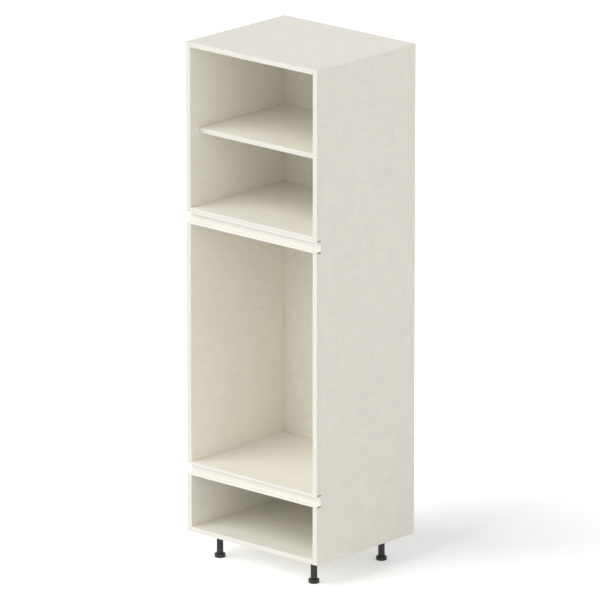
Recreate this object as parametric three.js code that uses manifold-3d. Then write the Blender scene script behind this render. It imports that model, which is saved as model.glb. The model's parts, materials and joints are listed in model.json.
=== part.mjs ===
// Tall oven housing unit: a kitchen carcass with a shelved compartment on top, an oven niche, a low
// compartment, two recessed handle rails across the front and four adjustable legs.
// Lengths are millimetres. X runs across the width, the open front faces -Y and Z = 0 is the floor.
import * as THREE from "three";
import { mergeVertices } from "three/addons/utils/BufferGeometryUtils.js";
import Module from "manifold-3d";

const wasm = await Module();
wasm.setup();

// Driving dimensions: the carcass
const unitWidth = 600;
const unitDepth = 500;
const carcassHeight = 1740;
const legHeight = 95; // floor to carcass underside
const sideThickness = 20;
const boardThickness = 18;
const bandThickness = 1; // plastic edging on every front edge
const glueLine = 0.2; // between edging and board
const jointGap = 0.2; // between butted boards
const overshoot = 1; // how far a cut runs past the face it opens in

// Driving dimensions: what the carcass is divided into, upwards from its underside
const ovenFloorTop = 253;
const nicheHeight = 888; // oven floor to the underside of the upper floor
const belowShelf = 256; // upper floor to the underside of the shelf

// Driving dimensions: back
const backThickness = 4;
const backSetIn = 16; // void behind the back panel
const grooveDepth = 8;
const grooveClearance = 0.3;
const rearRailHeight = 100;
const rearRailClearance = 0.5;

// Driving dimensions: shelf and its pins
const shelfSetback = 45;
const shelfSideGap = 1;
const shelfBackGap = 1;
const shelfSeatGap = 0.3;
const pinInset = 50; // from the shelf's front and rear edges
const pinDiameter = 5;
const pinDepth = 9;
const pinArmDiameter = 7;
const pinArmLength = 9;
const pinArmFlat = 2.5; // height of the arm's flat top above the pin's axis

// Driving dimensions: handle rail, an extruded C with a lip along each front edge
const railHeight = 44;
const railRecess = 19;
const railWall = 2;
const railLip = 6;
const railClearance = 0.5;
const upperFloorNose = 13; // board left above the upper rail
const ovenFloorNose = 4; // board left above the lower rail
const hookReach = 3.6;
const hookThickness = 1.5;
const hookLip = 3;
const hookCentre = 17; // above the rail's lower edge
const hookEndGap = 4;

// Driving dimensions: rail bracket and its screw
const bracketThickness = 1.5;
const bracketHeight = 17;
const bracketFrontLength = 30;
const bracketFootLength = 40;
const bracketBend = 1; // inside radius
const bracketGap = 0.3;
const screwDiameter = 4;
const screwLength = 14;
const screwHeadDiameter = 8;
const screwHeadHeight = 2;
const screwHeadTop = 0.7; // radius of the head's top, as a share of its rim's
const screwTip = 1; // shortfall of the blunt tip
const screwSetback = 12; // from the foot's rear end

// Driving dimensions: cam fitting, a disc bored into a board's underside with a bolt into the side
const camDiameter = 15;
const camDepth = 12.5;
const camSetIn = 34; // from the board's end
const camBoltDiameter = 7;
const camThreadDiameter = 5;
const camThreadLength = 11;
const camSlotLength = 8;
const camSlotWidth = 1.6;
const camSlotDepth = 2;
const fittingClearance = 0.2;

// Driving dimensions: legs
const legInsetX = 82; // carcass side to leg axis
const legInsetY = 76; // carcass front and rear to leg axis
const tubeDiameter = 23;
const tubeBore = 19;
const tubeClearance = 0.4;
const tubeSeat = 2.5; // how deep the tube's end stands in the foot
const footDiameter = 38;
const footSideHeight = 11;
const footTopRounding = 2; // from the foot's side to its flat top
const footChamfer = 0.6;
const threadDiameter = 10;
const threadClearance = 0.3;
const threadedBoreLength = 25;
const spindleLength = 42;
const spindleChamfer = 1;
const padDiameter = 34;
const padThickness = 3;
const padProud = 1; // how far the pad stands out under the foot
const padStudDiameter = 8;
const padStudLength = 4;
const padClearance = 0.3;
const socketFlangeDiameter = 60;
const socketFlangeThickness = 3;
const socketCupDepth = 24;
const socketCupWall = 2.7;
const socketRibCount = 4;
const socketRibThickness = 2;
const socketRibReach = 10;
const socketRibDepth = 16; // below the flange
const pegDiameter = 9.6;
const pegLength = 10;
const pegSpacing = 36;

// How finely round pieces are faceted
const roundSegments = 24;
const smallSegments = 12;
const roundingSteps = 4;
const bendSegments = 4;

// Planes and levels that follow; levels are above the carcass underside
const halfWidth = unitWidth / 2;
const innerHalf = halfWidth - sideThickness;
const boardHalf = innerHalf - jointGap;
const front = -unitDepth / 2;
const rear = unitDepth / 2;
const boardFront = front + bandThickness + glueLine;
const backFront = rear - backSetIn - backThickness;
const ovenFloorUnderside = ovenFloorTop - boardThickness;
const upperFloorUnderside = ovenFloorTop + nicheHeight;
const upperFloorTop = upperFloorUnderside + boardThickness;
const topUnderside = carcassHeight - boardThickness;
const shelfUnderside = upperFloorTop + belowShelf;
const notchHeight = railHeight + 2 * railClearance;
const notchDepth = railRecess + railWall + railClearance;
const railRear = front + railRecess + railWall;
const notches = {
  lower: { top: ovenFloorTop - ovenFloorNose, bottom: ovenFloorTop - ovenFloorNose - notchHeight },
  upper: { top: upperFloorTop - upperFloorNose, bottom: upperFloorTop - upperFloorNose - notchHeight },
};
const fixedBoards = {
  top: topUnderside,
  upper_floor: upperFloorUnderside,
  oven_floor: ovenFloorUnderside,
  bottom: 0,
};
const shelfFront = front + shelfSetback;
const shelfRear = backFront - shelfBackGap;
const pinPlaces = { front: shelfFront + pinInset, rear: shelfRear - pinInset };
const pinAxisLevel = shelfUnderside - shelfSeatGap - pinArmFlat;
const screwPlace = railRear + bracketFootLength - screwSetback;
const legPlaces = { front: front + legInsetY, rear: rear - legInsetY };
const sides = { left: -1, right: 1 };

// Finishes
const finishes = {
  board: { color: "#d6d2c7", roughness: 0.6, metalness: 0 },
  edging: { color: "#ecebe3", roughness: 0.5, metalness: 0 },
  backBoard: { color: "#d2cdc0", roughness: 0.65, metalness: 0 },
  rail: { color: "#f1efe5", roughness: 0.4, metalness: 0 },
  steel: { color: "#a9abad", roughness: 0.35, metalness: 1 },
  zinc: { color: "#8e9092", roughness: 0.4, metalness: 1 },
  blackPlastic: { color: "#2d2c2e", roughness: 0.45, metalness: 0 },
  rubber: { color: "#1f1e20", roughness: 0.8, metalness: 0 },
};

// A closed geometry as a solid that can be joined and cut.
function solidOf(geometry) {
  const bare = geometry.clone();
  bare.deleteAttribute("normal");
  bare.deleteAttribute("uv");
  const merged = mergeVertices(bare, 1e-4);
  const vertProperties = merged.attributes.position.array;
  const triVerts = new Uint32Array(merged.index.array);
  return new wasm.Manifold(new wasm.Mesh({ numProp: 3, vertProperties, triVerts }));
}

function meshOf(name, solid, finish) {
  const { vertProperties, triVerts } = solid.getMesh();
  const geometry = new THREE.BufferGeometry();
  geometry.setAttribute("position", new THREE.BufferAttribute(vertProperties, 3));
  geometry.setIndex(new THREE.BufferAttribute(triVerts, 1));
  geometry.computeVertexNormals();
  const material = new THREE.MeshStandardMaterial(finishes[finish]);
  const mesh = new THREE.Mesh(geometry, material);
  mesh.name = name;
  return mesh;
}

// A block between its lowest and highest corner.
function block(low, high) {
  const from = new THREE.Vector3(...low);
  const size = new THREE.Vector3(...high).sub(from);
  const geometry = new THREE.BoxGeometry(size.x, size.y, size.z);
  const centre = from.addScaledVector(size, 0.5);
  geometry.translate(centre.x, centre.y, centre.z);
  return solidOf(geometry);
}

// A round bar from one point to another.
function bar(diameter, start, end, segments = smallSegments) {
  const from = new THREE.Vector3(...start);
  const along = new THREE.Vector3(...end).sub(from);
  const geometry = new THREE.CylinderGeometry(diameter / 2, diameter / 2, along.length(), segments);
  const direction = along.clone().normalize();
  geometry.applyQuaternion(new THREE.Quaternion().setFromUnitVectors(new THREE.Vector3(0, 1, 0), direction));
  const centre = from.addScaledVector(along, 0.5);
  geometry.translate(centre.x, centre.y, centre.z);
  return solidOf(geometry);
}

// A solid of revolution about Z. The profile lists radius and height, upwards along the outside.
function turned(profile, segments = roundSegments) {
  const points = profile.map(([radius, height]) => new THREE.Vector2(radius, height));
  const geometry = new THREE.LatheGeometry(points, segments);
  geometry.rotateX(Math.PI / 2);
  return solidOf(geometry);
}

// An outline drawn across acrossAxis and upAxis, extruded both ways along their normal.
function prism(outline, length, acrossAxis, upAxis) {
  const options = { depth: length, bevelEnabled: false, curveSegments: bendSegments };
  const geometry = new THREE.ExtrudeGeometry(outline, options);
  geometry.translate(0, 0, -length / 2);
  const normal = new THREE.Vector3().crossVectors(acrossAxis, upAxis);
  geometry.applyMatrix4(new THREE.Matrix4().makeBasis(acrossAxis, upAxis, normal));
  return solidOf(geometry);
}

const alongX = new THREE.Vector3(1, 0, 0);
const alongY = new THREE.Vector3(0, 1, 0);
const alongZ = new THREE.Vector3(0, 0, 1);

function outlineOf(points) {
  return new THREE.Shape(points.map(([across, up]) => new THREE.Vector2(across, up)));
}

// The back panel's lower and upper edge, and the span of Y that its groove takes
const backLow = boardThickness - grooveDepth + grooveClearance;
const backHigh = topUnderside + grooveDepth - grooveClearance;
const grooveFront = backFront - grooveClearance;
const grooveRear = backFront + backThickness + grooveClearance;

// A side panel: full height, notched at the front for both handle rails, with a stopped groove for
// the back panel, and bored on its inner face for the cam bolts, the shelf pins and the bracket screws.
function sidePanel(side) {
  const inner = side * innerHalf;
  const outer = side * halfWidth;
  const low = Math.min(inner, outer);
  const high = Math.max(inner, outer);
  let panel = block([low, boardFront, 0], [high, rear, carcassHeight]);
  for (const notch of Object.values(notches)) {
    const cut = block(
      [low - overshoot, front - overshoot, notch.bottom],
      [high + overshoot, front + notchDepth, notch.top],
    );
    panel = panel.subtract(cut);
  }
  const grooveFloor = side * (innerHalf + grooveDepth);
  const opened = side * (innerHalf - overshoot);
  const groove = block(
    [Math.min(grooveFloor, opened), grooveFront, backLow - grooveClearance],
    [Math.max(grooveFloor, opened), grooveRear, backHigh + grooveClearance],
  );
  panel = panel.subtract(groove);
  const bore = (diameter, depth, y, z) => {
    panel = panel.subtract(bar(diameter, [opened, y, z], [side * (innerHalf + depth), y, z]));
  };
  for (const underside of Object.values(fixedBoards)) {
    const depth = camThreadLength + fittingClearance;
    bore(camThreadDiameter + 2 * fittingClearance, depth, 0, underside + boardThickness / 2);
  }
  for (const y of Object.values(pinPlaces)) {
    bore(pinDiameter + 2 * fittingClearance, pinDepth + fittingClearance, y, pinAxisLevel);
  }
  for (const notch of Object.values(notches)) {
    const level = notch.bottom + railClearance + hookCentre;
    bore(screwDiameter + 2 * fittingClearance, screwLength, screwPlace, level);
  }
  return panel;
}

// The bores for a cam fitting at each end of a board that lies between the side panels.
function boredForCams(board, underside) {
  let bored = board;
  for (const side of Object.values(sides)) {
    const camX = side * (innerHalf - camSetIn);
    const axis = underside + boardThickness / 2;
    const disc = bar(
      camDiameter + 2 * fittingClearance,
      [camX, 0, underside - overshoot],
      [camX, 0, underside + camDepth + fittingClearance],
      roundSegments,
    );
    const shankEnd = [side * (innerHalf + overshoot), 0, axis];
    const shank = bar(camBoltDiameter + 2 * fittingClearance, [camX, 0, axis], shankEnd);
    bored = bored.subtract(disc).subtract(shank);
  }
  return bored;
}

// The top or bottom panel: full depth, grooved for the back panel on the face towards the inside.
function endPanel(underside, grooveLow, grooveHigh) {
  const board = block([-boardHalf, boardFront, underside], [boardHalf, rear, underside + boardThickness]);
  const grooveHalf = boardHalf + overshoot;
  const groove = block([-grooveHalf, grooveFront, grooveLow], [grooveHalf, grooveRear, grooveHigh]);
  return boredForCams(board.subtract(groove), underside);
}

function topPanel() {
  return endPanel(topUnderside, topUnderside - overshoot, topUnderside + grooveDepth);
}

// The bottom panel also takes the pegs of the four leg sockets.
function bottomPanel() {
  let panel = endPanel(0, boardThickness - grooveDepth, boardThickness + overshoot);
  for (const side of Object.values(sides)) {
    for (const legY of Object.values(legPlaces)) {
      for (const pegSide of [-1, 1]) {
        const x = side * (halfWidth - legInsetX);
        const y = legY + (pegSide * pegSpacing) / 2;
        const boreTop = pegLength + fittingClearance;
        const bore = bar(pegDiameter + 2 * fittingClearance, [x, y, -overshoot], [x, y, boreTop]);
        panel = panel.subtract(bore);
      }
    }
  }
  return panel;
}

// A fixed floor with a rebate under its front edge, which leaves a thin nose above the handle rail.
function fixedFloor(underside, notch) {
  const board = block(
    [-boardHalf, boardFront, underside],
    [boardHalf, backFront - jointGap, underside + boardThickness],
  );
  const rebate = block(
    [-boardHalf - overshoot, front - overshoot, underside - overshoot],
    [boardHalf + overshoot, front + notchDepth, notch.top],
  );
  return boredForCams(board.subtract(rebate), underside);
}

function shelfBoard() {
  const half = innerHalf - shelfSideGap;
  const boardStart = shelfFront + bandThickness + glueLine;
  return block([-half, boardStart, shelfUnderside], [half, shelfRear, shelfUnderside + boardThickness]);
}

function backPanel() {
  const half = innerHalf + grooveDepth - grooveClearance;
  return block([-half, backFront, backLow], [half, backFront + backThickness, backHigh]);
}

// A rail in the void behind the back panel, for fixing the unit to the wall.
function rearRail(low) {
  const railFront = backFront + backThickness + rearRailClearance;
  return block([-boardHalf, railFront, low], [boardHalf, rear, low + rearRailHeight]);
}

// A strip of edging on a front edge.
function edging(lowX, highX, lowZ, highZ, faceY = front) {
  return block([lowX, faceY, lowZ], [highX, faceY + bandThickness, highZ]);
}

// The edging of a side panel, in the three lengths that the notches leave.
function sideEdging(side) {
  const low = Math.min(side * innerHalf, side * halfWidth);
  const high = low + sideThickness;
  return {
    low: edging(low, high, 0, notches.lower.bottom),
    middle: edging(low, high, notches.lower.top, notches.upper.bottom),
    top: edging(low, high, notches.upper.top, carcassHeight),
  };
}

// The handle rail, drawn in Y and Z from the front plane and its own lower edge. Hooks behind the
// wall hold the brackets, and end short of the side panels.
function handleRail() {
  const wallRear = railRecess + railWall;
  const outline = outlineOf([
    [0, 0],
    [railWall, 0],
    [railWall, railLip - railWall],
    [wallRear, railLip - railWall],
    [wallRear, railHeight - railLip + railWall],
    [railWall, railHeight - railLip + railWall],
    [railWall, railHeight],
    [0, railHeight],
    [0, railHeight - railLip],
    [railRecess, railHeight - railLip],
    [railRecess, railLip],
    [0, railLip],
  ]);
  let rail = prism(outline, unitWidth, alongY, alongZ);
  const slotHalf = bracketHeight / 2 + bracketGap;
  const lipFront = wallRear + hookReach - hookThickness;
  for (const direction of [-1, 1]) {
    const hook = outlineOf([
      [railRecess + railWall / 2, slotHalf + hookThickness],
      [railRecess + railWall / 2, slotHalf],
      [lipFront, slotHalf],
      [lipFront, slotHalf - hookLip],
      [wallRear + hookReach, slotHalf - hookLip],
      [wallRear + hookReach, slotHalf + hookThickness],
    ]);
    const length = 2 * (innerHalf - hookEndGap);
    const up = alongZ.clone().multiplyScalar(direction);
    rail = rail.add(prism(hook, length, alongY, up).translate([0, 0, hookCentre]));
  }
  return rail.translate([0, front, 0]);
}

// A bent bracket for the right-hand end of a rail. Its origin is the corner between the side
// panel's inner face and the back of the rail.
function railBracket() {
  const near = bracketGap;
  const far = bracketGap + bracketThickness;
  const turn = far + bracketBend;
  const outline = new THREE.Shape();
  outline.moveTo(-bracketFrontLength, near);
  outline.lineTo(-turn, near);
  outline.absarc(-turn, turn, turn - near, -Math.PI / 2, 0, false);
  outline.lineTo(-near, bracketFootLength);
  outline.lineTo(-far, bracketFootLength);
  outline.lineTo(-far, turn);
  outline.absarc(-turn, turn, turn - far, 0, -Math.PI / 2, true);
  outline.lineTo(-bracketFrontLength, far);
  outline.closePath();
  const strip = prism(outline, bracketHeight, alongX, alongY);
  const y = bracketFootLength - screwSetback;
  const hole = bar(screwDiameter + 2 * fittingClearance, [-far - overshoot, y, 0], [overshoot, y, 0]);
  return strip.subtract(hole);
}

// A pan-head screw pointing along +X, its head seated on the bracket's foot.
function bracketScrew() {
  const seat = -(bracketGap + bracketThickness + fittingClearance);
  const radius = screwDiameter / 2;
  const headRadius = screwHeadDiameter / 2;
  const tipStart = screwLength - screwDiameter;
  return turned([
    [0, seat - screwHeadHeight],
    [headRadius * screwHeadTop, seat - screwHeadHeight],
    [headRadius, seat - screwHeadHeight / 2],
    [headRadius, seat],
    [radius, seat],
    [radius, tipStart],
    [0, screwLength - screwTip],
  ], smallSegments);
}

// A cam fitting for the right-hand end of a board. Its origin is where the bolt's axis meets the
// side panel's inner face.
function camFitting() {
  const discLow = -boardThickness / 2;
  const discX = -camSetIn;
  const disc = bar(camDiameter, [discX, 0, discLow], [discX, 0, discLow + camDepth], roundSegments);
  const bolt = bar(camBoltDiameter, [discX, 0, 0], [-jointGap, 0, 0]);
  const thread = bar(camThreadDiameter, [-2 * jointGap, 0, 0], [camThreadLength, 0, 0]);
  const half = camSlotLength / 2;
  const slot = block(
    [discX - half, -camSlotWidth / 2, discLow - overshoot],
    [discX + half, camSlotWidth / 2, discLow + camSlotDepth],
  );
  return disc.add(bolt).add(thread).subtract(slot);
}

// A shelf pin for the right-hand panel, its origin on the panel's inner face.
function shelfPin() {
  const shank = bar(pinDiameter, [-pinArmLength / 2, 0, 0], [pinDepth, 0, 0]);
  const arm = bar(pinArmDiameter, [-pinArmLength, 0, 0], [-fittingClearance, 0, 0]);
  const flat = block(
    [-pinArmLength - overshoot, -pinArmDiameter, pinArmFlat],
    [pinDepth + overshoot, pinArmDiameter, pinArmDiameter],
  );
  return shank.add(arm).subtract(flat);
}

// Heights in a leg, above the floor
const footUnderside = padProud;
const footSideTop = footUnderside + footSideHeight;
const footTop = footSideTop + footTopRounding;
const tubeBottom = footTop - tubeSeat;
const seatFloor = tubeBottom - tubeClearance;
const flangeUnderside = legHeight - jointGap - socketFlangeThickness;

// The foot: a low cap whose flat top takes the tube's end, with a threaded spindle standing in it.
// It is hollowed underneath for the pad.
function legFoot() {
  const radius = footDiameter / 2;
  const seatRadius = tubeDiameter / 2 + tubeClearance;
  const hollowRadius = padDiameter / 2 + padClearance;
  const hollowTop = padThickness + padClearance;
  const studRadius = padStudDiameter / 2 + padClearance;
  const studTop = padThickness + padStudLength + padClearance;
  const spindleRadius = threadDiameter / 2;
  const spindleTop = seatFloor + spindleLength;
  const rounding = [];
  for (let step = 0; step <= roundingSteps; step++) {
    const turn = (step / roundingSteps) * (Math.PI / 2);
    rounding.push([
      radius - footTopRounding * (1 - Math.cos(turn)),
      footSideTop + footTopRounding * Math.sin(turn),
    ]);
  }
  return turned([
    [0, studTop],
    [studRadius, studTop],
    [studRadius, hollowTop],
    [hollowRadius, hollowTop],
    [hollowRadius, footUnderside],
    [radius - footChamfer, footUnderside],
    [radius, footUnderside + footChamfer],
    ...rounding,
    [seatRadius, footTop],
    [seatRadius, seatFloor],
    [spindleRadius, seatFloor],
    [spindleRadius, spindleTop - spindleChamfer],
    [spindleRadius - spindleChamfer, spindleTop],
    [0, spindleTop],
  ]);
}

// The pad that stands on the floor, held by a stud in the foot.
function legPad() {
  const radius = padDiameter / 2;
  const studRadius = padStudDiameter / 2;
  return turned([
    [0, 0],
    [radius - padProud / 2, 0],
    [radius, padProud / 2],
    [radius, padThickness],
    [studRadius, padThickness],
    [studRadius, padThickness + padStudLength],
    [0, padThickness + padStudLength],
  ]);
}

// The tube: its lower end is bored for the spindle's thread and the rest is hollow.
function legTube() {
  const radius = tubeDiameter / 2;
  const threadRadius = threadDiameter / 2 + threadClearance;
  const top = flangeUnderside - fittingClearance;
  return turned([
    [threadRadius, tubeBottom],
    [radius, tubeBottom],
    [radius, top],
    [tubeBore / 2, top],
    [tubeBore / 2, tubeBottom + threadedBoreLength],
    [threadRadius, tubeBottom + threadedBoreLength],
    [threadRadius, tubeBottom],
  ]);
}

// The socket: a round flange under the bottom panel, a cup that takes the tube, four ribs between
// them and two pegs up into the panel.
function legSocket() {
  const cupInner = tubeDiameter / 2 + fittingClearance;
  const cupOuter = cupInner + socketCupWall;
  const flangeRadius = socketFlangeDiameter / 2;
  const flangeTop = flangeUnderside + socketFlangeThickness;
  const cupBottom = flangeUnderside - socketCupDepth;
  let socket = turned([
    [0, flangeUnderside],
    [cupInner, flangeUnderside],
    [cupInner, cupBottom],
    [cupOuter, cupBottom],
    [cupOuter, flangeUnderside],
    [flangeRadius, flangeUnderside],
    [flangeRadius, flangeTop],
    [0, flangeTop],
  ]);
  const ribFoot = cupOuter - socketCupWall / 2;
  const ribTop = flangeUnderside + socketFlangeThickness / 2;
  const rib = outlineOf([
    [ribFoot, ribTop],
    [ribFoot, flangeUnderside - socketRibDepth],
    [cupOuter, flangeUnderside - socketRibDepth],
    [cupOuter + socketRibReach, flangeUnderside],
    [cupOuter + socketRibReach, ribTop],
  ]);
  for (let index = 0; index < socketRibCount; index++) {
    const turn = (index * 2 * Math.PI) / socketRibCount;
    const outward = alongX.clone().applyAxisAngle(alongZ, turn);
    socket = socket.add(prism(rib, socketRibThickness, outward, alongZ));
  }
  for (const pegSide of [-1, 1]) {
    const y = (pegSide * pegSpacing) / 2;
    const pegBase = flangeUnderside + socketFlangeThickness / 2;
    socket = socket.add(bar(pegDiameter, [0, y, pegBase], [0, y, legHeight + pegLength]));
  }
  return socket;
}

// The boards, their edging and the rails, in a group that stands on the legs.
function carcass() {
  const group = new THREE.Group();
  group.position.z = legHeight;
  const place = (name, solid, finish) => group.add(meshOf(name, solid, finish));
  for (const [sideName, side] of Object.entries(sides)) {
    place(`${sideName}_side_panel`, sidePanel(side), "board");
    for (const [length, strip] of Object.entries(sideEdging(side))) {
      place(`${sideName}_side_edging_${length}`, strip, "edging");
    }
  }
  place("top_panel", topPanel(), "board");
  place("bottom_panel", bottomPanel(), "board");
  place("upper_floor_panel", fixedFloor(upperFloorUnderside, notches.upper), "board");
  place("oven_floor_panel", fixedFloor(ovenFloorUnderside, notches.lower), "board");
  place("removable_shelf", shelfBoard(), "board");
  place("back_panel", backPanel(), "backBoard");
  place("upper_rear_rail", rearRail(topUnderside - jointGap - rearRailHeight), "board");
  place("lower_rear_rail", rearRail(boardThickness + jointGap), "board");
  place("top_panel_edging", edging(-boardHalf, boardHalf, topUnderside, carcassHeight), "edging");
  place("bottom_panel_edging", edging(-boardHalf, boardHalf, 0, boardThickness), "edging");
  place("upper_floor_edging", edging(-boardHalf, boardHalf, notches.upper.top, upperFloorTop), "edging");
  place("oven_floor_edging", edging(-boardHalf, boardHalf, notches.lower.top, ovenFloorTop), "edging");
  const shelfHalf = innerHalf - shelfSideGap;
  const shelfTop = shelfUnderside + boardThickness;
  place("shelf_edging", edging(-shelfHalf, shelfHalf, shelfUnderside, shelfTop, shelfFront), "edging");
  return group;
}

// Both handle rails with a bracket and a screw at each end.
function handleRails() {
  const group = new THREE.Group();
  for (const [level, notch] of Object.entries(notches)) {
    const railGroup = new THREE.Group();
    railGroup.position.z = legHeight + notch.bottom + railClearance;
    railGroup.add(meshOf(`${level}_handle_rail`, handleRail(), "rail"));
    for (const [sideName, side] of Object.entries(sides)) {
      const bracket = meshOf(`${level}_${sideName}_rail_bracket`, railBracket(), "steel");
      bracket.position.set(side * innerHalf, railRear, hookCentre);
      bracket.rotation.y = side > 0 ? 0 : Math.PI;
      const screw = meshOf(`${level}_${sideName}_bracket_screw`, bracketScrew(), "steel");
      screw.position.set(side * innerHalf, screwPlace, hookCentre);
      screw.rotation.y = (side * Math.PI) / 2;
      railGroup.add(bracket, screw);
    }
    group.add(railGroup);
  }
  return group;
}

// A cam fitting at each end of every fixed board, and a pin under each corner of the shelf.
function fittings() {
  const group = new THREE.Group();
  group.position.z = legHeight;
  for (const [sideName, side] of Object.entries(sides)) {
    const end = new THREE.Group();
    end.position.x = side * innerHalf;
    for (const [boardName, underside] of Object.entries(fixedBoards)) {
      const cam = meshOf(`${boardName}_${sideName}_cam_fitting`, camFitting(), "zinc");
      cam.position.z = underside + boardThickness / 2;
      cam.rotation.z = side > 0 ? 0 : Math.PI;
      end.add(cam);
    }
    for (const [placeName, y] of Object.entries(pinPlaces)) {
      const pin = meshOf(`${placeName}_${sideName}_shelf_pin`, shelfPin(), "steel");
      pin.position.set(0, y, pinAxisLevel);
      pin.rotation.z = side > 0 ? 0 : Math.PI;
      end.add(pin);
    }
    group.add(end);
  }
  return group;
}

function legs() {
  const group = new THREE.Group();
  for (const [placeName, y] of Object.entries(legPlaces)) {
    for (const [sideName, side] of Object.entries(sides)) {
      const leg = new THREE.Group();
      leg.position.set(side * (halfWidth - legInsetX), y, 0);
      const name = `${placeName}_${sideName}_leg`;
      leg.add(meshOf(`${name}_socket`, legSocket(), "blackPlastic"));
      leg.add(meshOf(`${name}_tube`, legTube(), "blackPlastic"));
      leg.add(meshOf(`${name}_foot`, legFoot(), "blackPlastic"));
      leg.add(meshOf(`${name}_pad`, legPad(), "rubber"));
      group.add(leg);
    }
  }
  return group;
}

const unit = new THREE.Group();
unit.name = "tall_oven_housing_unit";
unit.add(carcass(), handleRails(), fittings(), legs());

export default unit;
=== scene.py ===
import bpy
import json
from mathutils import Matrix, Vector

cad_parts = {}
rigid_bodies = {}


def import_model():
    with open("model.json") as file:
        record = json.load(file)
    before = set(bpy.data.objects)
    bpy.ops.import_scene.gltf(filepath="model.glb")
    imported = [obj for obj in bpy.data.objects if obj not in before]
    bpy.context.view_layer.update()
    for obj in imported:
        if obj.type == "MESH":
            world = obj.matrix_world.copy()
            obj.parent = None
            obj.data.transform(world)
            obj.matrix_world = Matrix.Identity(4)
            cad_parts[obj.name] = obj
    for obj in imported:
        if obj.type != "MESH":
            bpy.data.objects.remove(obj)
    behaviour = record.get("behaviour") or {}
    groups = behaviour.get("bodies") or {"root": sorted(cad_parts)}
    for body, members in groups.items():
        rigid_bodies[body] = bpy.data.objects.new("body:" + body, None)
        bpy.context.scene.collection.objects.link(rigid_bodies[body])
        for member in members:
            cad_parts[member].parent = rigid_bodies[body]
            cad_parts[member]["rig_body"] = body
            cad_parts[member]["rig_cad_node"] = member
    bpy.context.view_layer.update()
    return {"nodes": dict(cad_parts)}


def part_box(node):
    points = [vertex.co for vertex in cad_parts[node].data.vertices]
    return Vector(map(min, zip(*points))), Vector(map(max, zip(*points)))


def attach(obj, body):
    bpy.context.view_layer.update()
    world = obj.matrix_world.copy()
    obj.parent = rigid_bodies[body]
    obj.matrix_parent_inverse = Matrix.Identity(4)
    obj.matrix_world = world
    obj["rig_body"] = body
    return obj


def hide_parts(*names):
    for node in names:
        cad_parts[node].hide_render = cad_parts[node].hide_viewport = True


bl_info = {
    "name": "Tall Oven Housing Unit",
    "version": (1, 0, 0),
    "blender": (4, 5, 0),
    "location": "View3D > Sidebar > Oven Housing",
    "description": "Finishes a kitchen carcass: boards, edging, rails, fittings, legs and a studio",
    "category": "Object",
}

import json
import math
from contextlib import contextmanager

import bmesh
import bpy
from bpy.props import FloatProperty, FloatVectorProperty, PointerProperty
from mathutils import Matrix, Vector

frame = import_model()


def linear(text):
    """An sRGB hex colour as linear red, green and blue."""
    channels = [int(text[at:at + 2], 16) / 255 for at in (1, 3, 5)]
    return [c / 12.92 if c <= 0.04045 else ((c + 0.055) / 1.055) ** 2.4 for c in channels]


def colour(name, description, text):
    return FloatVectorProperty(
        name=name, description=description, subtype="COLOR", min=0, max=1, default=linear(text)
    )


def length(name, description, default):
    return FloatProperty(
        name=name, description=description, unit="LENGTH", precision=5, min=0, default=default
    )


def angle(name, description, degrees):
    return FloatProperty(
        name=name, description=description, subtype="ANGLE", default=math.radians(degrees)
    )


def amount(name, description, default):
    return FloatProperty(name=name, description=description, default=default)


def nodes_with(text):
    return sorted(name for name in frame["nodes"] if text in name)


def centre_of(node):
    low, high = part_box(node)
    return (low + high) / 2


# Settings

class BoardSettings(bpy.types.PropertyGroup):
    face_colour: colour("Face colour", "Middle tone of the printed linen", "#EBE8DD")
    core_colour: colour("Core colour", "Raw chipboard where a cut edge is left bare", "#B59A74")
    fibre_colour: colour("Fibreboard colour", "Raw rear side of the thin back", "#A88863")
    thread_spacing: length("Thread spacing", "Distance between printed threads", 0.0021)
    thread_contrast: amount("Thread contrast", "How far the threads' tones differ", 0.12)
    arris: length("Arris", "Rounding of the sawn arrises", 0.0003)


class EdgingSettings(bpy.types.PropertyGroup):
    band_colour: colour("Band colour", "Plastic edging", "#DDDBD3")
    arris: length("Arris", "Rounding of the band's front arrises", 0.0006)


class RailSettings(bpy.types.PropertyGroup):
    coat_colour: colour("Coat colour", "Powder coat on the handle rails", "#E9E7DF")
    recess: length("Recess", "Depth of the finger recess", 0.019)
    wall: length("Wall", "Wall of the extrusion", 0.002)
    lip: length("Lip", "Height of the lip along each front edge", 0.006)
    corner: length("Corner", "Rounding of the extrusion's corners", 0.0005)
    hook_gap: length("Hook gap", "Clear height between the rear hooks, halved", 0.0088)
    hook_thickness: length("Hook thickness", "Wall of the rear hooks", 0.0015)
    hook_lip: length("Hook lip", "How far a hook turns over the bracket", 0.003)
    hook_centre: length("Hook centre", "Height of the hooks' middle above the lower edge", 0.017)
    hook_end: length("Hook end", "Shortfall of the hooks at each end of the rail", 0.024)


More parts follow.
